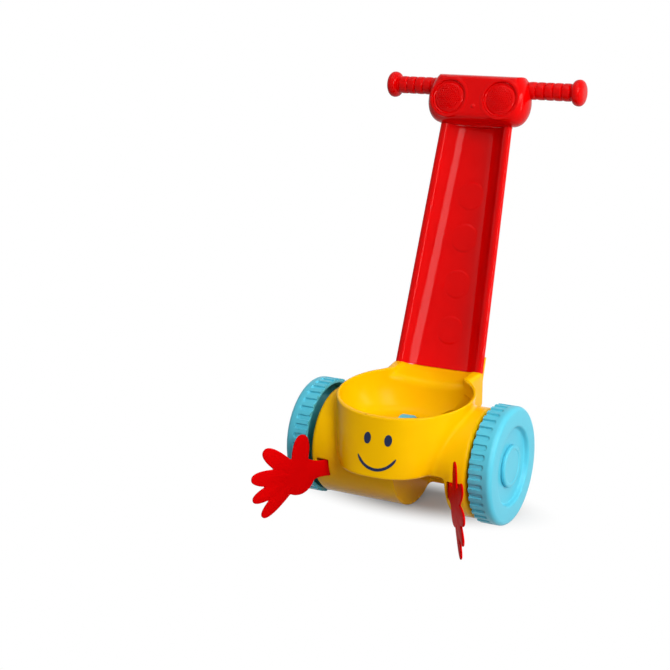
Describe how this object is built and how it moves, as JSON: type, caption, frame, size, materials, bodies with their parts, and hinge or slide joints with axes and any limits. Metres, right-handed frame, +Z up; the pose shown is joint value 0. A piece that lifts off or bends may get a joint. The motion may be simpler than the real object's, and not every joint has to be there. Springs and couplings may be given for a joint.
{
  "type": "ball collecting push walker",
  "caption": "Toddler push toy: treaded wheels carry a round bowl and a leaning slide with a ribbed handlebar; swinging hands herd balls in front.",
  "frame": {"origin": "on the floor under the middle of the overall box in X and Y", "axes": "+Z up; the front with the hands faces -Y; the main axle runs along X"},
  "size_m": [0.2732, 0.359, 0.5004],
  "materials": {
    "yellow_plastic": "smooth gloss moulding",
    "red_plastic": "smooth gloss moulding",
    "blue_plastic": "satin gloss moulding",
    "steel": "plain drawn steel",
    "natural_nylon": "matt natural nylon"
  },
  "bodies": {
    "chassis": {"body_shell": "yellow_plastic", "bracket_screw_1": "steel", "bracket_screw_2": "steel", "bracket_screw_3": "steel", "bracket_screw_4": "steel", "cover_screw_1": "steel", "cover_screw_2": "steel", "cover_screw_3": "steel", "cover_screw_4": "steel", "handlebar_tube": "steel", "head_front": "red_plastic", "head_rear": "red_plastic", "head_screw_1": "steel", "head_screw_2": "steel", "head_screw_3": "steel", "head_screw_4": "steel", "inner_axle_bush": "natural_nylon", "left_end_knob": "red_plastic", "left_grille": "red_plastic", "left_grip": "red_plastic", "left_hand_pin": "steel", "outer_axle_bush": "natural_nylon", "rear_axle": "steel", "rear_bracket": "yellow_plastic", "rear_left_cap": "steel", "rear_right_cap": "steel", "right_end_knob": "red_plastic", "right_grille": "red_plastic", "right_grip": "red_plastic", "right_hand_pin": "steel", "slide": "red_plastic", "slide_screw_1": "steel", "slide_screw_2": "steel", "slide_screw_3": "steel", "stub_axle": "steel", "underside_cover": "yellow_plastic"},
    "drive": {"left_wheel": "blue_plastic", "left_hub_cap": "blue_plastic", "drive_axle": "steel", "kicker": "blue_plastic"},
    "free_wheel": {"right_wheel": "blue_plastic", "right_hub_cap": "blue_plastic", "right_wheel_bush": "natural_nylon"},
    "rear_left_wheel": {"rear_left_wheel": "blue_plastic"},
    "rear_right_wheel": {"rear_right_wheel": "blue_plastic"},
    "left_hand": {"left_hand": "red_plastic"},
    "right_hand": {"right_hand": "red_plastic"}
  },
  "joints": [
    {"name": "left_wheel_roll", "type": "hinge", "parent": "chassis", "child": "drive", "pos_m": [0, -0.03493, 0.07], "axis": [1, 0, 0], "continuous": true},
    {"name": "right_wheel_roll", "type": "hinge", "parent": "chassis", "child": "free_wheel", "pos_m": [0, -0.03493, 0.07], "axis": [1, 0, 0], "continuous": true},
    {"name": "rear_left_wheel_roll", "type": "hinge", "parent": "chassis", "child": "rear_left_wheel", "pos_m": [0, 0.06907, 0.024], "axis": [1, 0, 0], "continuous": true},
    {"name": "rear_right_wheel_roll", "type": "hinge", "parent": "chassis", "child": "rear_right_wheel", "pos_m": [0, 0.06907, 0.024], "axis": [1, 0, 0], "continuous": true},
    {"name": "right_hand_swing", "type": "hinge", "parent": "chassis", "child": "right_hand", "pos_m": [0.082, -0.08493, 0.0515], "axis": [0, 0, 1], "range_deg": [0, 20]},
    {"name": "left_hand_swing", "type": "hinge", "parent": "chassis", "child": "left_hand", "pos_m": [-0.082, -0.08493, 0.0515], "axis": [0, 0, -1], "range_deg": [0, 20]}
  ]
}
